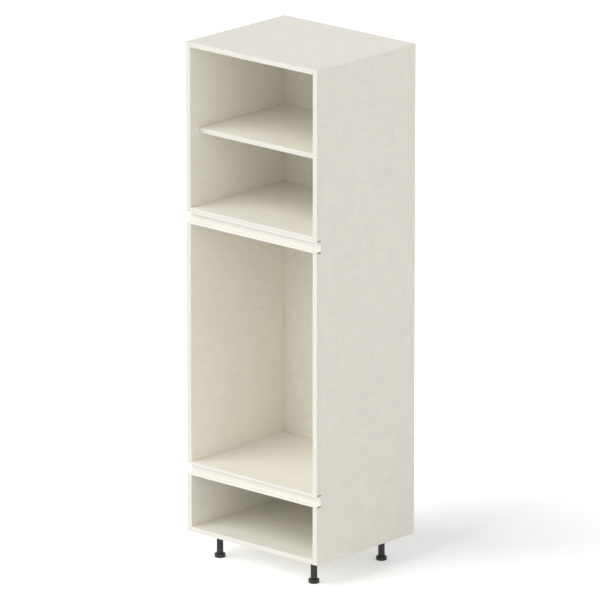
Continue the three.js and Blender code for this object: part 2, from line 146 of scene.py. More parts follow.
class FittingSettings(bpy.types.PropertyGroup):
    steel_colour: colour("Steel colour", "Zinc-plated pressed steel", "#C9CBCD")
    zinc_colour: colour("Zinc colour", "Die-cast zinc", "#A5A7A9")
    plate: length("Plate", "Thickness of the rail brackets", 0.0015)
    bend: length("Bend", "Inside radius of the brackets' bend", 0.001)
    plate_corner: length("Plate corner", "Rounding of the brackets' corners", 0.003)
    plate_arris: length("Plate arris", "Rounding of the brackets' arrises", 0.00015)
    screw_hole: length("Screw hole", "Hole in the brackets", 0.0044)
    screw_head: length("Screw head", "Height of the screw head", 0.002)
    screw_shank: length("Screw shank", "Diameter of the screw thread", 0.004)
    screw_pitch: length("Screw pitch", "Rise of the screw thread in a turn", 0.0018)
    cam_diameter: length("Cam diameter", "Disc that draws a joint tight", 0.015)
    cam_depth: length("Cam depth", "Height of the disc", 0.0125)
    cam_drop: length("Cam drop", "From the bolt's axis down to the disc's face", 0.009)
    cam_set_in: length("Cam distance", "Disc centre to the board's end", 0.034)
    bolt_shank: length("Bolt shank", "Diameter of the joint bolt in the board", 0.007)
    bolt_thread: length("Bolt thread", "Diameter of the joint bolt in the side panel", 0.005)
    bolt_pitch: length("Bolt pitch", "Rise of the bolt's thread in a turn", 0.0022)
    pin_shank: length("Pin shank", "Diameter of a shelf pin in the side panel", 0.005)
    pin_arm: length("Pin arm", "Diameter of a shelf pin under the shelf", 0.007)
    pin_flat: length("Pin flat", "Height of the arm's flat above the pin's axis", 0.0025)


class LegSettings(bpy.types.PropertyGroup):
    plastic_colour: colour("Plastic colour", "Moulded black plastic", "#1A191B")
    rubber_colour: colour("Rubber colour", "Moulded pad", "#171618")
    seat_radius: length("Seat radius", "Socket in the foot that takes the tube", 0.0119)
    side_height: length("Side height", "Upright side of the foot", 0.011)
    top_rounding: length("Top rounding", "From the foot's side to its flat top", 0.002)
    seat_depth: length("Seat depth", "Depth of the socket in the foot", 0.0029)
    spindle_radius: length("Spindle radius", "Outside of the height thread", 0.005)
    thread_pitch: length("Thread pitch", "Rise of the height thread in a turn", 0.004)
    thread_depth: length("Thread depth", "Depth of the height thread", 0.001)
    tube_bore: length("Tube bore", "Hollow of the tube", 0.019)
    tube_nut: length("Tube nut", "Height of the threaded lower end of the tube", 0.025)
    nut_radius: length("Nut radius", "Bore of the threaded end", 0.0053)
    pad_stud: length("Pad stud", "Diameter of the stud that holds the pad", 0.008)
    pad_thickness: length("Pad thickness", "Disc of the pad", 0.003)
    pad_clearance: length("Pad clearance", "Gap between the pad and the foot", 0.0003)
    stud_hole: length("Stud hole", "Height of the end of the hole for the stud", 0.0073)
    flange_thickness: length("Flange thickness", "Disc under the bottom panel", 0.003)
    cup_inside: length("Cup inside", "Radius of the cup that takes the tube", 0.0117)
    cup_wall: length("Cup wall", "Wall of that cup", 0.0027)
    rib_reach: length("Rib reach", "How far a rib stands out from the cup", 0.01)
    rib_height: length("Rib height", "Height of a rib at the cup", 0.016)
    rib_tip: length("Rib tip", "Height of a rib at its outer end", 0.0008)
    rib_thickness: length("Rib thickness", "Thickness of the ribs", 0.002)
    peg_length: length("Peg length", "Pegs pressed into the bottom panel", 0.0102)
    peg_diameter: length("Peg diameter", "Diameter of those pegs", 0.0096)
    peg_spacing: length("Peg spacing", "Distance between the two pegs", 0.036)
    barb_spacing: length("Barb spacing", "Distance between the pegs' four barbs", 0.0021)


class StudioSettings(bpy.types.PropertyGroup):
    floor_size: length("Floor size", "Side of the square floor", 40)
    floor_depth: length("Floor depth", "Thickness of the floor, more than the legs' travel", 0.03)
    floor_colour: colour("Floor colour", "Plain pale floor", "#F9F9F8")
    floor_lift: amount("Floor lift", "White added to what is seen of the floor", 0.37)
    sky: amount("Sky", "Strength of the light from all round", 0.385)
    left_light: amount("Left light", "Strength of the left front light", 2.2)
    left_turn: angle("Left turn", "Turn of the left light, rightwards from the front", -25)
    left_height: angle("Left height", "Height of the left light above level", 39)
    right_light: amount("Right light", "Strength of the right front light", 1.19)
    right_turn: angle("Right turn", "Turn of the right light, rightwards from the front", 63)
    right_height: angle("Right height", "Height of the right light above level", 3)
    light_colour: colour("Light colour", "Soft white of the two front lights", "#FFFFFF")
    light_spread: angle("Light spread", "Apparent width of each front light", 60)
    lens: amount("Lens", "Focal length in millimetres", 517.3)
    sensor: amount("Sensor", "Width of the camera's sensor in millimetres", 36)
    sight: length("Sight", "How far the camera sees", 200)
    camera_place: FloatVectorProperty(
        name="Camera place", description="Where the camera stands", subtype="TRANSLATION",
        unit="LENGTH", default=(19.003, -21.064, 9.016),
    )
    azimuth: angle("Azimuth", "Turn of the camera from the front", 42.06)
    pitch: angle("Pitch", "How far the camera looks down", 15.916)


# Materials

SHARE, FIRST, SECOND, MIXED = 0, 6, 7, 2  # sockets of a node that mixes two colours
WHITE = (1, 1, 1, 1)


def add_node(tree, kind, inputs=None, **settings):
    """Adds a shader node with its settings, and sets or links its inputs. A node that is given as
    an input is linked by its result."""
    node = tree.nodes.new(f"ShaderNode{kind}")
    for name, value in settings.items():
        setattr(node, name, value)
    for name, value in (inputs or {}).items():
        if isinstance(value, bpy.types.Node):
            value = value.outputs[MIXED if value.bl_idname == "ShaderNodeMix" else 0]
        if isinstance(value, bpy.types.NodeSocket):
            tree.links.new(value, node.inputs[name])
        else:
            node.inputs[name].default_value = value
    return node


def cleared_tree(owner):
    """The node tree of a material or a world, without nodes."""
    owner.use_nodes = True
    owner.node_tree.nodes.clear()
    return owner.node_tree


def new_material(name):
    """A material with its tree, and the Object coordinates in that tree."""
    material = bpy.data.materials.new(name)
    tree = cleared_tree(material)
    return material, tree, add_node(tree, "TexCoord").outputs["Object"]


def tone(base, share):
    """A colour lightened or darkened by a share, with its alpha."""
    return [min(1.0, channel * share) for channel in base] + [1.0]


def two_tones(share, base, dark, light):
    """What a mix needs to go from one tone of a colour to another."""
    return {SHARE: share, FIRST: tone(base, dark), SECOND: tone(base, light)}


def grain(tree, place, sizes, low=0.3, high=0.7, detail=2.0, roughness=0.5):
    """Blobs that measure the given sizes in metres along X, Y and Z, as a value from 0 to 1. A size
    of 0 leaves that axis out, and low and high are the levels of noise that 0 and 1 stand for."""
    scale = [1 / size if size else 0 for size in sizes]
    mapping = add_node(tree, "Mapping", {"Vector": place, "Scale": scale})
    noise = add_node(tree, "TexNoise", {
        "Vector": mapping, "Scale": 1.0, "Detail": detail, "Roughness": roughness,
    })
    return add_node(tree, "MapRange", {"Value": noise, "From Min": low, "From Max": high})


def weave(tree, place, axis, spacing):
    """Two sets of threads that cross on the plane square to an axis, as a value about 0.5. Along
    the axis the pattern changes slowly, so no two boards have the same one."""
    drift, run_length = 0.09, spacing * 34
    across, along = [index for index in range(3) if index != axis]
    strands = []
    for run, step in ((across, along), (along, across)):
        sizes = [drift] * 3
        sizes[step] = spacing
        sizes[run] = run_length
        strands.append(grain(tree, place, sizes, 0.32, 0.68, detail=3.0, roughness=0.6))
    both = add_node(tree, "Math", dict(enumerate(strands)), operation="ADD")
    return add_node(tree, "Math", {0: both, 1: 0.5}, operation="MULTIPLY")


def give_surface(tree, paint, roughness, relief, metallic=0.0):
    """The shader in a mixed colour. Its roughness is one value, or a pattern with the values at 0
    and 1, and its relief is a pattern with a strength and a depth in metres."""
    if isinstance(roughness, tuple):
        pattern, first, last = roughness
        roughness = add_node(tree, "MapRange", {"Value": pattern, "To Min": first, "To Max": last})
    height, strength, depth = relief
    bump = add_node(tree, "Bump", {"Height": height, "Strength": strength, "Distance": depth})
    shader = add_node(tree, "BsdfPrincipled", {
        "Base Color": paint, "Roughness": roughness, "Metallic": metallic, "Normal": bump,
    })
    add_node(tree, "OutputMaterial", {"Surface": shader})


def linen_melamine(name, base, axis, spacing, contrast):
    # Melamine-faced chipboard, hot-pressed matt: a paper printed with crossing threads of two close
    # tones under a clear resin, so the face looks like cloth but gives a broad even sheen. Real
    # threads lie 0.6 mm apart, too fine for the picture, so they are drawn about four times wider.
    material, tree, place = new_material(name)
    threads = weave(tree, place, axis, spacing)
    cloud = grain(tree, place, (0.06, 0.06, 0.09), detail=3.0)
    threaded = add_node(tree, "Mix", two_tones(threads, base, 1 - contrast, 1 + contrast),
                        data_type="RGBA")
    clouded = add_node(tree, "Mix", two_tones(cloud, base, 0.965, 1.03), data_type="RGBA")
    final = add_node(tree, "Mix", {SHARE: 0.35, FIRST: threaded, SECOND: clouded}, data_type="RGBA")
    give_surface(tree, final, (threads, 0.6, 0.5), (threads, 0.15, 0.0002))
    return material


def chipboard_core(base):
    # Raw chipboard on a sawn edge: flakes of spruce pressed flat, 1 to 3 mm long, each its own tan,
    # with dark glue between them. It has no sheen at all.
    material, tree, place = new_material("Raw chipboard")
    flakes_per_metre = (620, 430, 520)
    mapping = add_node(tree, "Mapping", {"Vector": place, "Scale": flakes_per_metre})
    flakes = add_node(tree, "TexVoronoi", {"Vector": mapping, "Scale": 1.0})
    parts = add_node(tree, "SeparateColor", {"Color": flakes.outputs["Color"]})
    flake = add_node(tree, "Mix", two_tones(parts, base, 0.62, 1.32), data_type="RGBA")
    dust = grain(tree, place, (0.0006, 0.0006, 0.0006), 0.45, 0.75, detail=4.0)
    dust_share = add_node(tree, "Math", {0: dust, 1: 0.55}, operation="MULTIPLY")
    final = add_node(tree, "Mix", {
        SHARE: dust_share, FIRST: flake, SECOND: tone(base, 0.45),
    }, data_type="RGBA")
    give_surface(tree, final, 0.9, (flakes, 0.5, 0.0004))
    return material


def raw_fibreboard(base):
    # Thin hardboard, uncoated on its rear side: fine pressed wood fibre, evenly brown with short
    # paler hairs and a slight polish from the press plate.
    material, tree, place = new_material("Raw fibreboard")
    hairs = grain(tree, place, (0.0035, 0.0035, 0.0012), 0.35, 0.7, detail=6.0, roughness=0.7)
    cloud = grain(tree, place, (0.05, 0.05, 0.04))
    haired = add_node(tree, "Mix", two_tones(hairs, base, 0.82, 1.2), data_type="RGBA")
    clouded = add_node(tree, "Mix", two_tones(cloud, base, 0.9, 1.08), data_type="RGBA")
    final = add_node(tree, "Mix", {SHARE: 0.4, FIRST: haired, SECOND: clouded}, data_type="RGBA")
    give_surface(tree, final, 0.7, (hairs, 0.25, 0.0002))
    return material


def abs_edging(base, spacing):
    # Extruded ABS band, printed to go with the board and scraped flush: smoother and paler than the
    # melamine, with the scraper's faint lines along it.
    material, tree, place = new_material("ABS edging")
    threads = weave(tree, place, 1, spacing)
    band = add_node(tree, "Mix", two_tones(threads, base, 0.972, 1.024), data_type="RGBA")
    scraped = grain(tree, place, (0.0005, 0, 0.0005))
    give_surface(tree, band, (scraped, 0.36, 0.48), (threads, 0.06, 0.0001))
    return material


def powder_coated_aluminium(base):
    # Aluminium extrusion under a polyester powder coat: an even satin film whose surface ripples
    # every 2 mm or so, with a finer grain in it. The metal itself doesn't show.
    material, tree, place = new_material("Powder-coated aluminium")
    ripple = grain(tree, place, (0.0022, 0.0022, 0.0022), detail=1.0)
    fine = grain(tree, place, (0.0004, 0.0004, 0.0004))
    film = add_node(tree, "Math", {0: ripple, 1: fine}, operation="ADD")
    drift = grain(tree, place, (0.12, 0.04, 0.04), detail=1.0)
    coat = add_node(tree, "Mix", two_tones(drift, base, 0.985, 1.01), data_type="RGBA")
    give_surface(tree, coat, (fine, 0.32, 0.42), (film, 0.03, 0.0001))
    return material


def zinc_plated_steel(base):
    # Cold-rolled steel, pressed and bright zinc plated: a bluish white metal with rolling lines and
    # a slightly uneven shine.
    material, tree, place = new_material("Zinc-plated steel")
    rolled = grain(tree, place, (0.0003, 0.02, 0.0003))
    patches = grain(tree, place, (0.004, 0.004, 0.004))
    plating = add_node(tree, "Mix", two_tones(patches, base, 0.86, 1.06), data_type="RGBA")
    give_surface(tree, plating, (rolled, 0.22, 0.38), (rolled, 0.05, 0.0001), metallic=1.0)
    return material


def die_cast_zinc(base):
    # Die-cast zinc alloy, tumbled: a duller grey metal with the casting's soft grain.
    material, tree, place = new_material("Die-cast zinc")
    skin = grain(tree, place, (0.0007, 0.0007, 0.0007), detail=4.0)
    casting = add_node(tree, "Mix", two_tones(skin, base, 0.82, 1.08), data_type="RGBA")
    give_surface(tree, casting, (skin, 0.38, 0.55), (skin, 0.08, 0.0001), metallic=1.0)
    return material


def moulded_black_plastic(base):
    # Injection-moulded polypropylene with carbon black, from a spark-eroded mould: a fine even
    # texture that breaks the highlight into a soft upright band.
    material, tree, place = new_material("Moulded black plastic")
    erosion = grain(tree, place, (0.0005, 0.0005, 0.0005), detail=3.0)
    flow = grain(tree, place, (0.012, 0.012, 0.03))
    pigment = add_node(tree, "Mix", two_tones(flow, base, 0.85, 1.12), data_type="RGBA")
    give_surface(tree, pigment, (erosion, 0.38, 0.5), (erosion, 0.06, 0.0001))
    return material


def moulded_rubber(base):
    # Moulded rubber with filler: dull, with a dusty bloom and a rough skin.
    material, tree, place = new_material("Moulded rubber")
    bloom = grain(tree, place, (0.003, 0.003, 0.003), 0.4, 0.7, detail=4.0, roughness=0.65)
    skin = add_node(tree, "Mix", two_tones(bloom, base, 0.8, 1.5), data_type="RGBA")
    give_surface(tree, skin, 0.85, (bloom, 0.2, 0.0002))
    return material


def seen_rays(tree):
    """1 for the rays that see the backdrop, from the camera, in a reflection or through glass, and
    0 for the rays that light the unit."""
    rays = add_node(tree, "LightPath").outputs
    straight = add_node(tree, "Math", {
        0: rays["Is Camera Ray"], 1: rays["Is Glossy Ray"],
    }, operation="MAXIMUM")
    through = rays["Is Transmission Ray"]
    return add_node(tree, "Math", {0: straight, 1: through}, operation="MAXIMUM")


def pale_floor(base, lift):
    # Plain matt studio floor. What is seen of it is lifted to white, and the object's shadow stays,
    # because the lift is added to the light that really falls there.
    material = bpy.data.materials.new("Pale studio floor")
    tree = cleared_tree(material)
    matt = add_node(tree, "BsdfDiffuse", {"Color": tone(base, 1.0)})
    strength = add_node(tree, "Math", {0: seen_rays(tree), 1: lift}, operation="MULTIPLY")
    glow = add_node(tree, "Emission", {"Color": WHITE, "Strength": strength})
    both = add_node(tree, "AddShader", {0: matt, 1: glow})
    add_node(tree, "OutputMaterial", {"Surface": both})
    return material


# Modelling by hand

QUARTER_TURN = math.pi / 2
MERGE = 1e-6  # distance under which vertices are one


def select_only(piece):
    bpy.ops.object.select_all(action="DESELECT")
    piece.select_set(True)
    bpy.context.view_layer.objects.active = piece


@contextmanager
def editing(piece, action="DESELECT"):
    """Edit mode on one piece, with nothing selected, or everything if the action is SELECT."""
    select_only(piece)
    bpy.ops.object.mode_set(mode="EDIT")
    bpy.ops.mesh.select_all(action=action)
    yield
    bpy.ops.object.mode_set(mode="OBJECT")


def pick(piece, kind, test):
    """Selects the verts, edges or faces that pass a test, and nothing else."""
    bpy.ops.mesh.select_mode(type={"verts": "VERT", "edges": "EDGE", "faces": "FACE"}[kind])
    bpy.ops.mesh.select_all(action="DESELECT")
    mesh = bmesh.from_edit_mesh(piece.data)
    for part in getattr(mesh, kind):
        if test(part):
            part.select = True
    mesh.select_flush_mode()
    bmesh.update_edit_mesh(piece.data)


def near(first, second):
    return abs(first - second) < 2e-5


def lies_at(edge, axis, place):
    return all(near(vertex.co[axis], place) for vertex in edge.verts)


def middle(face_or_edge):
    points = [vertex.co for vertex in face_or_edge.verts]
    return sum(points, Vector()) / len(points)


def extrude(*move):
    bpy.ops.mesh.extrude_region_move(TRANSFORM_OT_translate={"value": move})


def bisect(place, normal, **settings):
    bpy.ops.mesh.bisect(plane_co=place, plane_no=normal, threshold=MERGE, **settings)


def apply_place(piece):
    select_only(piece)
    bpy.ops.object.transform_apply(location=True, rotation=True, scale=True)


def lay_along_x(piece, place=(0, 0, 0)):
    """Turns a piece drawn along Z to lie along X, with its origin at a place."""
    piece.rotation_euler.y = QUARTER_TURN
    piece.location = place
    apply_place(piece)


def apply_modifier(piece, kind, **settings):
    select_only(piece)
    bpy.ops.object.modifier_add(type=kind)
    modifier = piece.modifiers[-1]
    for name, value in settings.items():
        setattr(modifier, name, value)
    bpy.ops.object.modifier_apply(modifier=modifier.name)


def thicken(piece, wall, place, outward):
    """Gives a folded sheet its wall, behind the side that looks outward at a place."""
    with editing(piece, "SELECT"):
        bpy.ops.mesh.normals_make_consistent(inside=False)
        faces = bmesh.from_edit_mesh(piece.data).faces
        nearest = min(faces, key=lambda face: (middle(face) - Vector(place)).length)
        if nearest.normal.dot(Vector(outward)) < 0:
            bpy.ops.mesh.flip_normals()
    apply_modifier(piece, "SOLIDIFY", thickness=wall, offset=-1, use_even_offset=True)


def round_edges(piece, width, segments, degrees):
    """Rounds every edge at which a piece turns by more than an angle."""
    apply_modifier(piece, "BEVEL", width=width, segments=segments, limit_method="ANGLE",
                   angle_limit=math.radians(degrees))


def face_outwards(piece):
    with editing(piece, "SELECT"):
        bpy.ops.mesh.remove_doubles(threshold=MERGE)
        bpy.ops.mesh.normals_make_consistent(inside=False)


def smooth(piece):
    select_only(piece)
    bpy.ops.object.shade_smooth_by_angle(angle=math.radians(35))
    return piece


def new_block(name, low, high):
    """A cube primitive between two corners."""
    bpy.ops.object.select_all(action="DESELECT")
    low, high = Vector(low), Vector(high)
    bpy.ops.mesh.primitive_cube_add(size=1, location=(low + high) / 2, scale=high - low)
    piece = bpy.context.object
    piece.name = name
    apply_place(piece)
    return piece


def new_sheet(name, centre, turn, sides):
    """A plane primitive with the given sides, turned about its centre."""
    bpy.ops.object.select_all(action="DESELECT")
    bpy.ops.mesh.primitive_plane_add(size=1, location=centre, rotation=turn)
    piece = bpy.context.object
    piece.name = name
    piece.scale = (*sides, 1)
    apply_place(piece)
    return piece


def new_turning(name, rings, segments=48, closed=False):
    """A piece turned about Z, drawn from ring to ring of (radius, height). An open outline is
    capped at both ends, and a closed one ends on its first ring."""
    bpy.ops.object.select_all(action="DESELECT")
    radius, height = rings[0]
    bpy.ops.mesh.primitive_circle_add(
        vertices=segments, radius=radius, location=(0, 0, height),
        fill_type="NOTHING" if closed else "NGON",
    )
    piece = bpy.context.object
    piece.name = name
    apply_place(piece)
    with editing(piece, "SELECT"):
        for next_radius, next_height in rings[1:]:
            extrude(0, 0, next_height - height)
            share = next_radius / radius
            bpy.ops.transform.resize(value=(share, share, 1), center_override=(0, 0, next_height))
            radius, height = next_radius, next_height
    face_outwards(piece)
    return piece


def rings_at(radius, height, *steps):
    """Rings round a corner of a turning, each a step of (outward, upward) millimetres from it."""
    return [(radius + out / 1000, height + up / 1000) for out, up in steps]


def shank_rings(radius, low, high, step):
    """Evenly spaced rings of one radius, close enough to carry a thread."""
    count = max(2, round((high - low) / step))
    return [(radius, low + (high - low) * index / count) for index in range(count + 1)]


def cut_thread(piece, radius, low, high, pitch, depth):
    """Draws the rings of a plain shank in and out along a right-hand helix."""
    crest, flank = 0.3, 0.2  # shares of the pitch
    for vertex in piece.data.vertices:
        x, y, z = vertex.co
        if not near(math.hypot(x, y), radius) or not low < z < high:
            continue
        phase = (z / pitch - math.atan2(y, x) / math.tau) % 1
        drawn = min(max((abs(phase - 0.5) - crest / 2) / flank, 0), 1)
        run_out = min(1, (z - low) / pitch, (high - z) / pitch)
        share = (radius - depth * drawn * run_out) / radius
        vertex.co.x, vertex.co.y = x * share, y * share


def combine(piece, tool, operation):
    """Joins or cuts a piece with a tool, which is used up."""
    apply_modifier(piece, "BOOLEAN", object=tool, operation=operation, solver="EXACT")
    bpy.data.objects.remove(tool)


def cut_driver_recess(piece, level, long, wide, depth):
    """Cuts a cross for a driver upwards from a level, narrower at its end."""
    taper = (0.45, 0.7, 1)
    blades = []
    for turn in (0, QUARTER_TURN):
        blade = new_block("recess_blade", (-long / 2, -wide / 2, -depth),
                          (long / 2, wide / 2, depth))
        with editing(blade):
            pick(blade, "faces", lambda face: face.normal.z < -0.9)
            bpy.ops.transform.resize(value=taper, center_override=(0, 0, -depth))
        blade.rotation_euler.z = turn
        apply_place(blade)
        blades.append(blade)
    cross, second = blades
    combine(cross, second, "UNION")
    cross.rotation_euler.x = math.pi
    cross.location.z = level
    apply_place(cross)
    combine(piece, cross, "DIFFERENCE")


def duplicate(source, name, matrix):
    """A copy with its own mesh, placed in that mesh."""
    copy = source.copy()
    copy.data = source.data.copy()
    copy.data.transform(matrix)
    copy.name = name
    bpy.context.scene.collection.objects.link(copy)
    return copy


def half_turn(axis, centre):
    spot = Matrix.Translation(centre)
    return spot @ Matrix.Rotation(math.pi, 4, axis) @ spot.inverted()


def finish_piece(piece, node, slot, *materials):
    """Gives a piece its materials, and has it stand for its node and ride on that node's body."""
    slots = piece.data.materials
    for index, material in enumerate(materials):
        if index < len(slots):
            slots[index] = material
        else:
            slots.append(material)
    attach(piece, frame["nodes"][node]["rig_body"])
    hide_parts(node)


def finish_copies(source, part, form, spot, slot, material):
    """Finishes a copy of a source at the spot of each node of a part, and removes the source."""
    for node in nodes_with(part):
        finish_piece(duplicate(source, f"{node}_{form}", spot(node)), node, slot, material)
    bpy.data.objects.remove(source)


# Pieces

FACED = {  # boards, each with the axes square to its printed faces
    "left_side_panel": (0, 2), "right_side_panel": (0, 2), "top_panel": (2,),
    "upper_floor_panel": (2,), "oven_floor_panel": (2,), "bottom_panel": (2,),
    "removable_shelf": (0, 1, 2), "upper_rear_rail": (1,), "lower_rear_rail": (1,),
}
CORE_SLOT = 3
NOTCH_REAR = -0.215  # behind the side panels' front notches
LINEN_PRINTS = (  # for faces square to X, Y and Z, each with its share of the threads' contrast
    ("Linen melamine upright", 1.05),
    ("Linen melamine facing", 1.3),
    ("Linen melamine level", 0.7),
)


def linen_set():
    """The three linen prints, made once."""
    settings = bpy.context.scene.oven_housing_boards
    return [
        bpy.data.materials.get(name)
        or linen_melamine(name, settings.face_colour, axis, settings.thread_spacing,
                          settings.thread_contrast * share)
        for axis, (name, share) in enumerate(LINEN_PRINTS)
    ]


def longest(sizes):
    return max(range(3), key=lambda axis: abs(sizes[axis]))


def dress_board(node, faced):
    """A board with its bores and grooves from the frame, its arrises rounded, print on the faced
    sides and in the notches, and raw core on the others."""
    arris = bpy.context.scene.oven_housing_boards.arris
    low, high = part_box(node)
    piece = frame["nodes"][node].copy()
    piece.data = frame["nodes"][node].data.copy()
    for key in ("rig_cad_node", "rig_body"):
        if key in piece:
            del piece[key]
    piece.parent = None
    piece.name = f"{node}_board"
    bpy.context.scene.collection.objects.link(piece)
    ends = [(axis, place) for axis in range(3) for place in (low[axis], high[axis])
            if (axis, place) != (1, low.y)]
    thickness = min(range(3), key=lambda axis: high[axis] - low[axis])
    with editing(piece, "SELECT"):
        bpy.ops.mesh.remove_doubles(threshold=MERGE)
        bpy.ops.mesh.dissolve_limited(angle_limit=math.radians(1))
        pick(piece, "edges", lambda edge: sum(lies_at(edge, *end) for end in ends) == 2)
        bpy.ops.mesh.bevel(offset=arris, segments=2, affect="EDGES")
    for polygon in piece.data.polygons:
        normal, centre = polygon.normal, polygon.center
        axis = longest(normal)
        outside = [min(centre[index] - low[index], high[index] - centre[index]) < arris
                   for index in range(3)]
        square = abs(normal[axis]) > 0.999
        rounded = not square and sum(outside) >= 2
        sealed = thickness == 0 and centre.y < NOTCH_REAR and not outside[axis]
        if square and outside[axis] and axis in faced:
            polygon.material_index = axis
        elif rounded or sealed:
            polygon.material_index = thickness
        else:
            polygon.material_index = CORE_SLOT
        polygon.use_smooth = False
    return piece


class OVENHOUSING_OT_boards(bpy.types.Operator):
    """Faces the side panels, floors, shelf and rear rails with linen melamine"""
    bl_idname = "oven_housing.boards"
    bl_label = "Boards"

    def execute(self, context):
        core = chipboard_core(context.scene.oven_housing_boards.core_colour)
        for node, faced in sorted(FACED.items()):
            finish_piece(dress_board(node, faced), node, "melamine_board", *linen_set(), core)
        return {"FINISHED"}


class OVENHOUSING_OT_back(bpy.types.Operator):
    """Makes the thin back, printed in front and raw behind"""
    bl_idname = "oven_housing.back"
    bl_label = "Back"

    def execute(self, context):
        settings = context.scene.oven_housing_boards
        piece = new_block("back_panel_sheet", *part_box("back_panel"))
        with editing(piece, "SELECT"):
            bpy.ops.mesh.bevel(offset=settings.arris, segments=2, affect="EDGES")
        for polygon in piece.data.polygons:
            polygon.material_index = 0 if polygon.normal.y < -0.999 else 1
        finish_piece(piece, "back_panel", "back_board", linen_set()[1],
                     raw_fibreboard(settings.fibre_colour))
        return {"FINISHED"}


class OVENHOUSING_OT_edging(bpy.types.Operator):
    """Lays a plastic band on every front edge"""
    bl_idname = "oven_housing.edging"
    bl_label = "Edging"

    def execute(self, context):
        settings = context.scene.oven_housing_edging
        spacing = context.scene.oven_housing_boards.thread_spacing
        material = abs_edging(settings.band_colour, spacing)
        for node in nodes_with("edging"):
            low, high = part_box(node)
            piece = new_block(f"{node}_band", low, high)
            across = 2 if longest(high - low) == 0 else 0
            with editing(piece):
                pick(piece, "edges", lambda edge: lies_at(edge, 1, low.y) and (
                    lies_at(edge, across, low[across]) or lies_at(edge, across, high[across])))
                bpy.ops.mesh.bevel(offset=settings.arris, segments=4, affect="EDGES")
            finish_piece(smooth(piece), node, "edging", material)
        return {"FINISHED"}


def draw_rail(name, low, high, sizes):
    """The extrusion: a strip folded from plane to plane, given its wall, then its rear hooks."""
    piece = new_sheet(name, (0, low.y, low.z + sizes.lip / 2), (QUARTER_TURN, 0, 0),
                      (high.x - low.x, sizes.lip))
    with editing(piece):
        pick(piece, "edges", lambda edge: lies_at(edge, 2, low.z + sizes.lip))
        extrude(0, sizes.recess, 0)
        extrude(0, 0, high.z - low.z - 2 * sizes.lip)
        extrude(0, -sizes.recess, 0)
        extrude(0, 0, sizes.lip)
    thicken(piece, sizes.wall, (0, low.y, low.z), (0, -1, 0))
    wall_rear = low.y + sizes.recess + sizes.wall
    hook_rear = high.y
    middle_z = low.z + sizes.hook_centre
    outer = sizes.hook_gap + sizes.hook_thickness

    def on_wall(face):
        return face.normal.y > 0.9 and near(middle(face).y, wall_rear)

    with editing(piece):
        for level in (-outer, -sizes.hook_gap, sizes.hook_gap, outer):
            pick(piece, "faces", on_wall)
            bisect((0, 0, middle_z + level), (0, 0, 1))
        for end in (low.x + sizes.hook_end, high.x - sizes.hook_end):
            pick(piece, "faces", on_wall)
            bisect((end, 0, 0), (1, 0, 0))
        pick(piece, "faces", lambda face: on_wall(face)
             and sizes.hook_gap < abs(middle(face).z - middle_z) < outer
             and abs(middle(face).x) < high.x - sizes.hook_end)
        extrude(0, hook_rear - sizes.hook_thickness - wall_rear, 0)
        extrude(0, sizes.hook_thickness, 0)
        for side in (-1, 1):
            pick(piece, "faces", lambda face: face.normal.z * side < -0.9
                 and middle(face).y > hook_rear - sizes.hook_thickness
                 and near(middle(face).z, middle_z + side * sizes.hook_gap))
            extrude(0, 0, -side * sizes.hook_lip)
    face_outwards(piece)
    round_edges(piece, sizes.corner, 3, 40)
    return smooth(piece)


class OVENHOUSING_OT_handle_rails(bpy.types.Operator):
    """Makes both recessed handle rails"""
    bl_idname = "oven_housing.handle_rails"
    bl_label = "Handle rails"

    def execute(self, context):
        sizes = context.scene.oven_housing_rails
        low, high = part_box("lower_handle_rail")
        finish_copies(
            draw_rail("rail_source", low, high, sizes), "handle_rail", "extrusion",
            lambda node: Matrix.Translation(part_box(node)[0] - low),
            "handle_rail", powder_coated_aluminium(sizes.coat_colour),
        )
        return {"FINISHED"}


def draw_bracket(name, low, high, sizes, hole):
    """A right-hand bracket: a strip bent round an upright edge, given its plate and its hole."""
    bend = sizes.bend + sizes.plate
    piece = new_sheet(
        name, (high.x, (low.y + bend + high.y) / 2, (low.z + high.z) / 2), (0, QUARTER_TURN, 0),
        (high.z - low.z, high.y - low.y - bend),
    )
    with editing(piece):
        pick(piece, "edges", lambda edge: lies_at(edge, 1, low.y + bend))
        bpy.ops.mesh.spin(steps=6, angle=QUARTER_TURN, axis=(0, 0, 1),
                          center=(high.x - bend, low.y + bend, 0))
        extrude(low.x - high.x + bend, 0, 0)
        pick(piece, "verts", lambda vertex: near(vertex.co.x, low.x) or near(vertex.co.y, high.y))
        bpy.ops.mesh.bevel(offset=sizes.plate_corner, segments=4, affect="VERTICES")
    thicken(piece, sizes.plate, high, (1, 0, 0))
    radius, reach = sizes.screw_hole / 2, 0.01
    drill = new_turning("bracket_drill", [(radius, -reach), (radius, reach)], 24)
    lay_along_x(drill, (high.x, hole.y, hole.z))
    combine(piece, drill, "DIFFERENCE")
    face_outwards(piece)
    round_edges(piece, sizes.plate_arris, 2, 60)
    return smooth(piece)


PAN_HEAD = (  # from the top: share of the head's radius, and depth
    (0.42, 0), (0.66, 0.00012), (0.85, 0.0005), (0.96, 0.0011),
)


def draw_screw(name, sizes, seat, tip):
    """A pan-head screw along Z: its head's underside lies at the seat."""
    head, shank = sizes.screw_shank, sizes.screw_shank / 2
    top = seat - sizes.screw_head
    thread = (shank, seat + 0.0004, tip - 0.003)
    piece = new_turning(name, [
        *[(head * share, top + depth) for share, depth in PAN_HEAD],
        (head, seat - 0.0001), (head * 0.97, seat), (shank, seat),
        *shank_rings(*thread, 0.00025), (shank * 0.25, tip),
    ], 32)
    cut_thread(piece, *thread, sizes.screw_pitch, shank * 0.28)
    cut_driver_recess(piece, top, long=head * 1.15, wide=head * 0.24, depth=0.0012)
    return smooth(piece)


